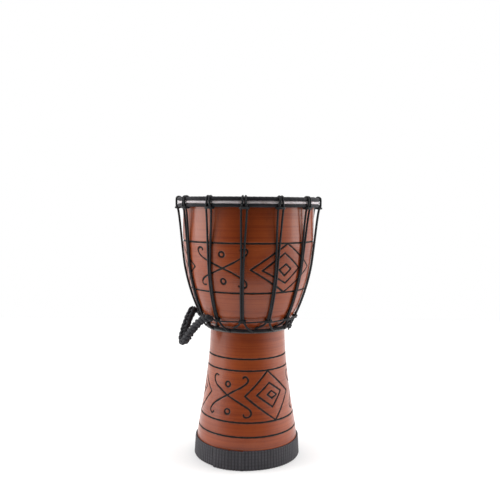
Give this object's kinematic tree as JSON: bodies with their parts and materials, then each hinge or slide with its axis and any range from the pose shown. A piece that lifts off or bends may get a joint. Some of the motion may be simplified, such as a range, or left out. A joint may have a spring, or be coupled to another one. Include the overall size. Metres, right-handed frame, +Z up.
{
  "type": "djembe drum",
  "caption": "Wooden goblet hand drum: rope-laced goatskin head on cloth-wrapped hoops, carved bands, plaited rope carrying handle and ribbed rubber foot band.",
  "frame": {"origin": "middle of the foot, on the surface that the drum stands on", "axes": "+Z up along the drum's axis to the head; -Y is the front; the rope handle hangs towards -X"},
  "size_m": [0.2252, 0.2252, 0.404],
  "materials": {
    "carved_wood": "satin varnish, stained red-brown",
    "hide": "shaved goatskin, matt",
    "hoop_steel": "black enamel",
    "hoop_cloth": "black cotton strip",
    "cord": "black braided polyester",
    "rope": "black plaited cord",
    "rubber": "dark grey ribbed rubber"
  },
  "bodies": {
    "drum": {"shell": "carved_wood", "drum_skin": "hide", "flesh_hoop": "hoop_steel", "crown_hoop": "hoop_steel", "crown_hoop_cover": "hoop_cloth", "skirt_hoop": "hoop_steel", "skirt_hoop_cover": "hoop_cloth", "base_hoop": "hoop_steel", "base_hoop_cover": "hoop_cloth", "lacing_cord": "cord", "gather_cord": "cord", "foot_band": "rubber"},
    "handle": {"handle_rope": "rope", "handle_eye_front": "cord", "handle_eye_rear": "cord"}
  },
  "joints": [
    {"name": "handle_swing", "type": "hinge", "parent": "drum", "child": "handle", "pos_m": [-0.06645, -0.02095, 0.2206], "axis": [-0.3007, 0.9537, 0], "range_deg": [-45, 35]}
  ]
}
